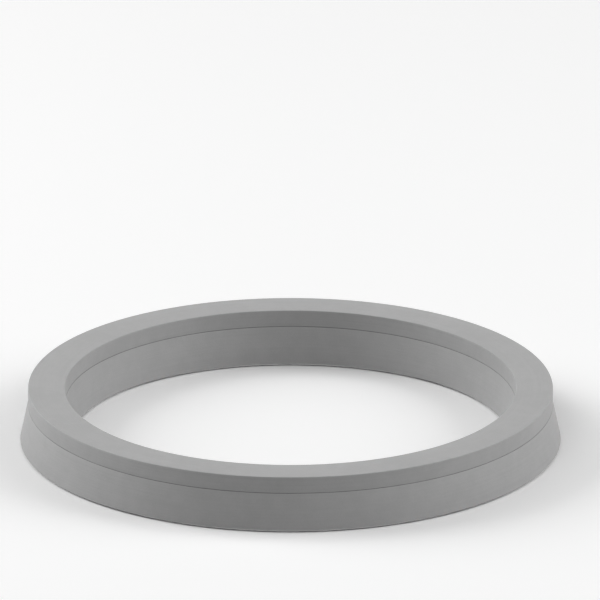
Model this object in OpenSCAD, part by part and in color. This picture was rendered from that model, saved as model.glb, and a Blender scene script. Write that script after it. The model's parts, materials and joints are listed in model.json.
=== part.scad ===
// Lip seal ring with a U-shaped section, moulded in one piece.
// It stands on its two lips, with the heel up. Millimetres.
// The origin is on the ring's axis, level with the tips of the lips, and +Z points to the heel.

/* [Rod and housing] */
// Diameter of the rod that runs through the seal
rod_d = 76.2; // [40:0.1:160]
// Depth of the housing's seal groove, from the rod to the groove's floor
gland_depth = 6.35; // [5.4:0.05:9]

/* [Heel] */
// Play between each straight wall of the heel and the metal beside it
heel_play = 0.05; // [0:0.01:0.3]
// Height of the heel's straight walls
heel_wall_h = 2.9; // [1:0.1:5.5]
// Thickness of the heel from its face to the top of the lip groove
heel_t = 3.7; // [2:0.1:5]
// Radius of the two corners of the heel's face
heel_corner_r = 0.15; // [0.05:0.01:0.5]

/* [Lips] */
// Height of the seal from the lip tips to the heel's face
seal_h = 9.525; // [8:0.025:16]
// How far the tip of each lip stands out past the heel's wall
lip_flare = 1.28; // [0.4:0.02:2.4]
// Width of each lip's tip, where it was trimmed after moulding
tip_w = 0.72; // [0.3:0.02:1.4]
// Slope of the trimmed tips from level, in degrees
trim_angle = 25; // [0:1:45]
// Radius of the round root of the groove between the lips
root_r = 2.1; // [1:0.05:2.5]

/* [Hidden] */

// How finely the ring and the arcs of its section are drawn on screen
ring_facets = 144;
root_facets = 44;
corner_facets = 24;

// The gland's floor, the middle of the section and the heel's outer wall, as radii. The section
// is the same on both sides of its middle.
gland_r = rod_d / 2 + gland_depth;
mid_r = (rod_d / 2 + gland_r) / 2;
heel_outer_r = gland_r - heel_play;

// Heights of the bends where the walls turn into the lips, and of the groove root's centre
bend_z = seal_h - heel_wall_h;
root_z = seal_h - heel_t - root_r;

// Distances from the middle of the section to a tip's outer, sealing edge and to its inner edge
heel_half_w = heel_outer_r - mid_r;
sealing_edge_x = heel_half_w + lip_flare;
groove_edge_x = sealing_edge_x - tip_w;

// The slope of the trimmed tips. In the blank it runs on down to the middle of the section, and
// the groove is cut through it.
trim_rise = tip_w * tan(trim_angle);
blank_drop = groove_edge_x * tan(trim_angle);

// The groove's flank runs from a tip's inner edge to where it touches the root's arc. Its upper
// end lies this far inside the arc, so that rounded numbers never part the two.
flank_overlap = 0.0002;
edge_to_root = norm([groove_edge_x, root_z]);
touch_angle = acos(root_r / edge_to_root) - atan2(root_z, groove_edge_x);
touch_x = (root_r - flank_overlap) * cos(touch_angle);
touch_z = root_z + (root_r - flank_overlap) * sin(touch_angle);
flank_slope = (groove_edge_x - touch_x) / touch_z;

// The groove's cutting shape reaches this far below the blank
cut_past = 1;

// Half of the ring's section without its groove, from the middle out
module half_blank() {
    difference() {
        polygon([
            [0, -blank_drop],
            [sealing_edge_x, trim_rise],
            [heel_half_w, bend_z],
            [heel_half_w, seal_h],
            [0, seal_h]
        ]);
        heel_corner_cut();
    }
}

// What is taken off the square corner of the heel's face to round it
module heel_corner_cut() {
    translate([heel_half_w - heel_corner_r, seal_h - heel_corner_r])
        difference() {
            square(2 * heel_corner_r);
            circle(r = heel_corner_r, $fn = corner_facets);
        }
}

// The groove that parts the two lips: a round root with straight flanks that leave it smoothly
module lip_groove() {
    mouth_depth = blank_drop + cut_past;
    mouth_x = groove_edge_x + flank_slope * mouth_depth;
    translate([0, root_z])
        circle(r = root_r, $fn = root_facets);
    polygon([
        [-mouth_x, -mouth_depth],
        [mouth_x, -mouth_depth],
        [touch_x, touch_z],
        [-touch_x, touch_z]
    ]);
}

// The whole section, at its distance from the ring's axis
module seal_section() {
    translate([mid_r, 0])
        difference() {
            union() {
                half_blank();
                mirror([1, 0]) half_blank();
            }
            lip_groove();
        }
}

module seal_ring() {
    color("silver")
        rotate_extrude($fn = ring_facets)
            seal_section();
}

seal_ring();
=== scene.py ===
"""Looks of a moulded lip seal ring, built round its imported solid. Lengths are in metres."""
import json
import math

import bmesh
import bpy
from mathutils import Matrix, Vector


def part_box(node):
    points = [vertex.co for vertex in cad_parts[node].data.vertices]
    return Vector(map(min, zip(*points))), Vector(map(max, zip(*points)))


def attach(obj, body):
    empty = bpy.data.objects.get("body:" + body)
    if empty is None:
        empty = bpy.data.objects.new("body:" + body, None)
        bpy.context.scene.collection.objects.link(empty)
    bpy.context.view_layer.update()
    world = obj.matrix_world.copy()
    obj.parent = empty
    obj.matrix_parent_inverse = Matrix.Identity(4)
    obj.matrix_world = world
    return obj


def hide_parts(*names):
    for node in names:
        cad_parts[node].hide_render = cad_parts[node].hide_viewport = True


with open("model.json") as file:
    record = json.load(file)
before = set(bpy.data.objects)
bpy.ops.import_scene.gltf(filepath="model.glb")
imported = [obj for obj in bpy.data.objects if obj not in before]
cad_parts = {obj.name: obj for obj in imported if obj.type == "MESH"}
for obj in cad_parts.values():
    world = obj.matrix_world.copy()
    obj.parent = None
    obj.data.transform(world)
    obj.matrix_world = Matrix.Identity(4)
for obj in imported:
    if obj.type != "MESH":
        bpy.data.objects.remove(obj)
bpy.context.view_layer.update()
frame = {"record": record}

MM = 0.001

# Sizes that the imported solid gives
high_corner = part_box("seal_ring")[1]
wall_r = {m["name"]: m["dims"]["r_mm"] * MM for m in frame["record"]["mounts"] if m["dims"]}
seal_h = high_corner.z
mid_r = (wall_r["rod_bore"] + wall_r["housing_wall"]) / 2
heel_half_w = wall_r["housing_wall"] - mid_r
sealing_edge_x = high_corner.x - mid_r

# The rest of the section, as the solid has it
heel_wall_h = 2.9 * MM
heel_t = 3.7 * MM
heel_corner_r = 0.15 * MM
tip_w = 0.72 * MM
trim_slope = math.tan(math.radians(25))
root_r = 2.1 * MM

bend_z = seal_h - heel_wall_h
root_z = seal_h - heel_t - root_r
groove_edge_x = sealing_edge_x - tip_w
trim_rise = tip_w * trim_slope

# What moulding and trimming leave on the real ring: the mould's joint line at the bends,
# and edges that are crisp but not knife-sharp
joint_line_w = 0.14 * MM
joint_line_depth = 0.05 * MM
sealing_edge_r = 0.03 * MM
groove_edge_r = 0.04 * MM

# How finely the mesh follows the ring and the arcs of its section, the sharpest bend that is
# still shaded smooth, and how near two vertices lie when they are made one
ring_steps = 480
root_steps = 14
sealing_edge_segments = 6
groove_edge_segments = 10
heel_corner_segments = 12
smooth_bend = math.radians(8)
merge_distance = 0.0005 * MM

# The elastomer's greys: where its mottling is darkest and lightest, on the trimmed tips, and a
# painted shade in the joint line, far darker than the elastomer, for the shade in its shallow
# groove. The last two cover the mottling as far as these shares say.
dark_grey = 0.395
light_grey = 0.435
trimmed_grey = 0.50
joint_line_shade_grey = 0.17
trimmed_cover = 0.6
joint_line_shade_cover = 0.75

# The elastomer's finish, from 0 for a mirror to 1 for chalk, and how strongly it reflects
satin_roughness = 0.60
refractive_index = 1.5
specular_level = 0.4

# The floor: half its width, the grey that it lights the ring with, and its roughness. A glow
# whitens it but fades out towards the ring, which paints a shadow there. It starts at the first
# of the two distances from the middle of the section, and is full from the second on.
floor_half_w = 3.0
floor_grey = 0.50
floor_roughness = 0.8
floor_glow = 0.10
glow_starts = 4.5 * MM
glow_full = 12 * MM

# The grey that the room lights the ring with, and the widths of the square lamps
room_grey = 0.155
lamp_w = 0.6
groove_lamp_w = 0.2

# The photograph: its width in pixels, where the middle of the heel's face lies in it, the
# section's mid radius there, and the angle that it looks down at
photo_px = 600
heel_centre_px = (290.0, 387.0)
mid_r_px = 244.0
photo_elevation = math.radians(20)


class Term:
    """A number in a node tree. Python's arithmetic on it adds Math nodes."""

    def __init__(self, nodes, socket):
        self.nodes = nodes
        self.socket = socket

    def __add__(self, other):
        return self.nodes.math("ADD", self, other)

    def __radd__(self, other):
        return self.nodes.math("ADD", other, self)

    def __sub__(self, other):
        return self.nodes.math("SUBTRACT", self, other)

    def __rsub__(self, other):
        return self.nodes.math("SUBTRACT", other, self)

    def __mul__(self, other):
        return self.nodes.math("MULTIPLY", self, other)

    def __rmul__(self, other):
        return self.nodes.math("MULTIPLY", other, self)

    def __pow__(self, other):
        return self.nodes.math("POWER", self, other)

    def __abs__(self):
        return self.nodes.math("ABSOLUTE", self)


class Nodes:
    """Adds the nodes of one material, or of the world."""

    def __init__(self, owner):
        owner.use_nodes = True
        self.tree = owner.node_tree
        self.tree.nodes.clear()

    def add(self, kind, settings=None, sockets=None, out=0):
        """Adds a node of a type, with its settings and its sockets' values or links. Gives one
        output, or a list of them where out names several."""
        node = self.tree.nodes.new("ShaderNode" + kind)
        for name, value in (settings or {}).items():
            setattr(node, name, value)
        for key, value in (sockets or {}).items():
            socket = self.find(node.inputs, key)
            if isinstance(value, Term):
                self.tree.links.new(value.socket, socket)
            else:
                socket.default_value = value
        if isinstance(out, tuple):
            return [Term(self, self.find(node.outputs, name)) for name in out]
        return Term(self, self.find(node.outputs, out))

    def find(self, sockets, key):
        """A socket by its place, or the one in use that has the name."""
        if isinstance(key, int):
            return sockets[key]
        return next(s for s in sockets if s.enabled and s.name == key)

    def math(self, operation, *values):
        return self.add("Math", {"operation": operation}, dict(enumerate(values)))

    def step(self, value, start, end):
        """0 at start and 1 at end, with a smooth change between them."""
        sockets = {"Value": value, "From Min": start, "From Max": end}
        return self.add("MapRange", {"interpolation_type": "SMOOTHSTEP"}, sockets)

    def point(self, x, y, z):
        return self.add("CombineXYZ", None, {"X": x, "Y": y, "Z": z})

    def place(self):
        """The place of each point of the surface on its object, and its x, y and z."""
        place = self.add("TexCoord", out="Object")
        x, y, z = self.add("SeparateXYZ", None, {"Vector": place}, ("X", "Y", "Z"))
        return place, x, y, z

    def noise(self, vector, size, detail=2.0):
        """Soft noise round 0.5 whose blotches are about as wide as size, in the vector's units."""
        sockets = {"Vector": vector, "Scale": 1 / size, "Detail": detail}
        return self.add("TexNoise", None, sockets)

    def mix(self, factor, a, b):
        """Colour a, with colour b over it as far as the factor says."""
        sockets = {"Factor": factor, "A": a, "B": b}
        return self.add("Mix", {"data_type": "RGBA"}, sockets, "Result")

    def bump(self, height, depth, under=None):
        """The normal of a surface that stands depth higher where height is 1 than where it is 0."""
        sockets = {"Height": height, "Distance": depth, "Strength": 1.0}
        if under:
            sockets["Normal"] = under
        return self.add("Bump", None, sockets)


def grey(level):
    return (level, level, level, 1)


def from_axis(x, y):
    """How far a point is from the ring's axis."""
    return (x * x + y * y) ** 0.5


def moulded_elastomer():
    """Light grey satin elastomer, with the mould's texture, the cut of the trimmed tips, and a
    painted shade in the joint line.
    """
    material = bpy.data.materials.new("light_grey_elastomer")
    nodes = Nodes(material)
    place, x, y, z = nodes.place()
    radius = from_axis(x, y)
    across = abs(radius - mid_r)

    # Where the knife trimmed the tips, and where the halves of the mould met
    above_trim = z - (across - groove_edge_x) * trim_slope
    trimmed = nodes.step(above_trim, start=0.03 * MM, end=0.01 * MM)
    from_bend = abs(z - bend_z)
    joint_line = nodes.step(from_bend, start=joint_line_w * 0.6, end=joint_line_w * 0.3)

    # A turned mould leaves fine lines round the ring: noise that runs quickly across the
    # surface, as radius and height change, and slowly round it
    slow = 0.01
    round_x = x * slow
    round_y = y * slow
    lathe = nodes.noise(nodes.point(radius + z, round_x, round_y), size=0.28 * MM, detail=3.0)
    wide_lathe = nodes.noise(nodes.point(radius + z, round_y, round_x), size=1.1 * MM, detail=1.0)

    grain = nodes.noise(place, size=0.16 * MM)
    pigment = nodes.noise(place, size=0.3 * MM, detail=3.0)
    cloud = nodes.noise(place, size=2.2 * MM, detail=3.0)
    mottle = nodes.noise(place, size=11 * MM)
    swell = nodes.noise(place, size=7 * MM, detail=1.0)

    # Where the mould was wiped, long faint streaks that are a little duller
    wipe_slant = 0.6
    wipe_slow = 0.12
    wiped = nodes.point(radius + wipe_slant * z, x * wipe_slow, y * wipe_slow)
    wipe = nodes.noise(wiped, size=0.6 * MM, detail=4.0)
    streaks = nodes.step(wipe, start=0.56, end=0.72) * nodes.step(mottle, start=0.42, end=0.62)

    # Each blotch, line and speck has its share in the tone
    tone = 0.25 * mottle + 0.30 * cloud + 0.25 * lathe + 0.20 * pigment
    colour = nodes.mix(nodes.step(tone, start=0.35, end=0.65), grey(dark_grey), grey(light_grey))
    colour = nodes.mix(trimmed * trimmed_cover, colour, grey(trimmed_grey))
    # Painted shade: the joint line is darkened far below the elastomer's grey, for shade in its
    # groove
    colour = nodes.mix(joint_line * joint_line_shade_cover, colour, grey(joint_line_shade_grey))

    rough = satin_roughness + 0.12 * (cloud - 0.5) + 0.12 * (lathe - 0.5)
    rough = rough + 0.12 * streaks + 0.2 * trimmed + 0.15 * joint_line

    # The knife leaves short ridges across the trimmed tips
    chatter = nodes.noise(place, size=0.09 * MM, detail=3.0) * trimmed
    normal = nodes.bump(swell, depth=0.080 * MM)
    normal = nodes.bump(wide_lathe, depth=0.026 * MM, under=normal)
    normal = nodes.bump(lathe, depth=0.020 * MM, under=normal)
    normal = nodes.bump(grain, depth=0.026 * MM, under=normal)
    normal = nodes.bump(chatter, depth=0.030 * MM, under=normal)

    sockets = {"Base Color": colour, "Roughness": rough, "Normal": normal}
    sockets |= {"IOR": refractive_index, "Specular IOR Level": specular_level}
    shader = nodes.add("BsdfPrincipled", None, sockets)
    nodes.add("OutputMaterial", None, {"Surface": shader}, ())
    return material


def bevel_corner(bm, corner, offset, segments):
    """Cuts a corner off a wire outline, from this far along each of its edges."""
    bmesh.ops.bevel(
        bm,
        geom=[corner],
        offset=offset,
        offset_type="OFFSET",
        segments=segments,
        profile=0.5,
        affect="VERTICES",
        material=-1,
    )


def round_corner(bm, corner, radius, segments):
    """Rounds a corner of a wire outline, in the plane that it lies in."""
    a, b = [edge.other_vert(corner).co - corner.co for edge in corner.link_edges]
    turn = math.pi - a.angle(b)
    bevel_corner(bm, corner, radius * math.tan(turn / 2), segments)


def cut_joint_line(bm, bend):
    """Opens the bend of a wire outline into the shallow line where the mould's halves met."""
    before = set(bm.verts)
    bevel_corner(bm, bend, joint_line_w / 2, segments=2)
    new = sorted((v for v in bm.verts if v not in before), key=lambda v: v.co.z)
    new[len(new) // 2].co.x -= joint_line_depth


def half_section(bm):
    """Half of the ring's section, as a wire from the middle of the heel to the groove's root."""
    edge_to_root = math.hypot(groove_edge_x, root_z)
    touch_angle = math.acos(root_r / edge_to_root) - math.atan2(root_z, groove_edge_x)
    outline = [
        (0, seal_h),
        (heel_half_w, seal_h),
        (heel_half_w, bend_z),
        (sealing_edge_x, trim_rise),
        (groove_edge_x, 0),
        (root_r * math.cos(touch_angle), root_z + root_r * math.sin(touch_angle)),
    ]
    corners = [bm.verts.new((across, 0, z)) for across, z in outline]
    for a, b in zip(corners, corners[1:]):
        bm.edges.new((a, b))
    heel_corner, bend, sealing_edge, groove_edge, touch = corners[1:]
    bmesh.ops.spin(
        bm,
        geom=[touch],
        cent=(0, 0, root_z),
        axis=(0, -1, 0),
        angle=math.pi / 2 - touch_angle,
        steps=root_steps,
    )
    round_corner(bm, sealing_edge, sealing_edge_r, sealing_edge_segments)
    round_corner(bm, groove_edge, groove_edge_r, groove_edge_segments)
    round_corner(bm, heel_corner, heel_corner_r, heel_corner_segments)
    cut_joint_line(bm, bend)


def made_object(name, bm, material):
    """Ends a bmesh, and puts its mesh in the scene as an object of one material."""
    mesh = bpy.data.meshes.new(name)
    bm.to_mesh(mesh)
    bm.free()
    mesh.materials.append(material)
    made = bpy.data.objects.new(name, mesh)
    bpy.context.scene.collection.objects.link(made)
    return made


def seal_ring():
    """The whole ring: the half section mirrored, set at its radius and spun."""
    bm = bmesh.new()
    half_section(bm)
    half = bm.verts[:] + bm.edges[:]
    bmesh.ops.mirror(bm, geom=half, axis="X", merge_dist=merge_distance)
    bmesh.ops.translate(bm, verts=bm.verts, vec=(mid_r, 0, 0))
    bmesh.ops.spin(
        bm,
        geom=bm.verts[:] + bm.edges[:],
        cent=(0, 0, 0),
        axis=(0, 0, 1),
        angle=math.tau,
        steps=ring_steps,
        use_merge=True,
    )
    bmesh.ops.remove_doubles(bm, verts=bm.verts, dist=merge_distance)
    bmesh.ops.recalc_face_normals(bm, faces=bm.faces)
    for face in bm.faces:
        face.smooth = True
    for edge in bm.edges:
        edge.smooth = edge.calc_face_angle() < smooth_bend
    ring = made_object("moulded_ring", bm, moulded_elastomer())
    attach(ring, "root")
    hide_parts("seal_ring")
    return ring


def photo_camera():
    """A camera with no perspective, a metre off, at the photograph's angle and framing."""
    px = mid_r / mid_r_px
    middle_px = (photo_px - 1) / 2
    right = Vector((1, 0, 0))
    up = Vector((0, math.sin(photo_elevation), math.cos(photo_elevation)))
    back = right.cross(up)
    aim = Vector((0, 0, seal_h))
    aim += right * (middle_px - heel_centre_px[0]) * px
    aim += up * (heel_centre_px[1] - middle_px) * px
    data = bpy.data.cameras.new("camera")
    data.type = "ORTHO"
    data.ortho_scale = photo_px * px
    camera = bpy.data.objects.new("camera", data)
    turn = Matrix((right, up, back)).transposed().to_4x4()
    camera.matrix_world = Matrix.Translation(aim + back) @ turn
    bpy.context.scene.collection.objects.link(camera)
    bpy.context.scene.camera = camera


def seen_directly(nodes):
    """1 where the camera or a reflection sees a thing, and 0 where the thing lights others."""
    rays = ("Is Camera Ray", "Is Glossy Ray", "Is Transmission Ray")
    camera, glossy, transmission = nodes.add("LightPath", out=rays)
    return camera + glossy + transmission


def floor_paint():
    """Pale paint that a camera below the floor looks through, so that it sees the lips. Round the
    ring its glow fades out, which paints a shadow there.
    """
    material = bpy.data.materials.new("pale_floor")
    nodes = Nodes(material)
    seen = seen_directly(nodes)

    # It is seen white, and lights the ring as a grey floor does
    colour = nodes.mix(seen, grey(floor_grey), grey(1.0))

    # The glow that whitens the floor fades out towards the ring: a painted shadow round it, which
    # deepens the dark line where the lips touch the floor
    _, x, y, _ = nodes.place()
    from_section = abs(from_axis(x, y) - mid_r)
    floor_past_painted_shadow = nodes.step(from_section, glow_starts, glow_full)
    glow = nodes.mix(seen * floor_past_painted_shadow, grey(0), grey(floor_glow))

    sockets = {"Base Color": colour, "Roughness": floor_roughness, "Specular IOR Level": 0.0}
    sockets |= {"Emission Color": glow, "Emission Strength": 1.0}
    paint = nodes.add("BsdfPrincipled", None, sockets)
    clear = nodes.add("BsdfTransparent")
    underside = nodes.add("NewGeometry", out="Backfacing")
    camera = nodes.add("LightPath", out="Is Camera Ray")
    surface = nodes.add("MixShader", None, {0: underside * camera, 1: paint, 2: clear})
    nodes.add("OutputMaterial", None, {"Surface": surface}, ())
    return material


def pale_floor():
    """A pale floor that keeps the ring's shadow, with a painted shadow round the ring as well."""
    bm = bmesh.new()
    bmesh.ops.create_grid(bm, x_segments=1, y_segments=1, size=floor_half_w)
    made_object("floor", bm, floor_paint())


def lamp(name, place, width, level):
    """A square soft lamp that faces the ring. Level is how bright it alone makes a white
    surface that faces it."""
    data = bpy.data.lights.new(name, "AREA")
    data.size = width
    data.energy = level * math.pi ** 2 * place.length_squared
    light = bpy.data.objects.new(name, data)
    facing_ring = place.to_track_quat("Z", "Y").to_matrix().to_4x4()
    light.matrix_world = Matrix.Translation(place) @ facing_ring
    bpy.context.scene.collection.objects.link(light)
    return light


def light_ring_alone(light, ring):
    """Keeps a lamp's light to the ring, lets only the ring block it, and has none passed on."""
    ring_alone = bpy.data.collections.new("ring_alone")
    ring_alone.objects.link(ring)
    light.light_linking.receiver_collection = ring_alone
    light.light_linking.blocker_collection = ring_alone
    light.data.cycles.max_bounces = 0


def studio_light(ring):
    """Soft light from both sides, a little from high in front, and the room's own light. A lamp
    below the floor shines through it and fills the groove between the lips."""
    lamp("left_lamp", Vector((-0.72, 0.25, 0.42)), lamp_w, level=0.75)
    lamp("right_lamp", Vector((0.77, 0.02, 0.42)), lamp_w, level=0.625)
    lamp("front_lamp", Vector((-0.15, -0.6, 0.75)), lamp_w, level=0.175)
    light_ring_alone(lamp("groove_lamp", Vector((0, 0, -0.9)), groove_lamp_w, level=0.9), ring)

    # The room is seen white, and lights the ring far less
    world = bpy.data.worlds.new("studio")
    bpy.context.scene.world = world
    nodes = Nodes(world)
    colour = nodes.mix(seen_directly(nodes), grey(room_grey), grey(1.0))
    background = nodes.add("Background", None, {"Color": colour, "Strength": 1.0})
    nodes.add("OutputWorld", None, {"Surface": background}, ())


photo_camera()
studio_light(seal_ring())
pale_floor()
bpy.context.scene.view_settings.view_transform = "Standard"
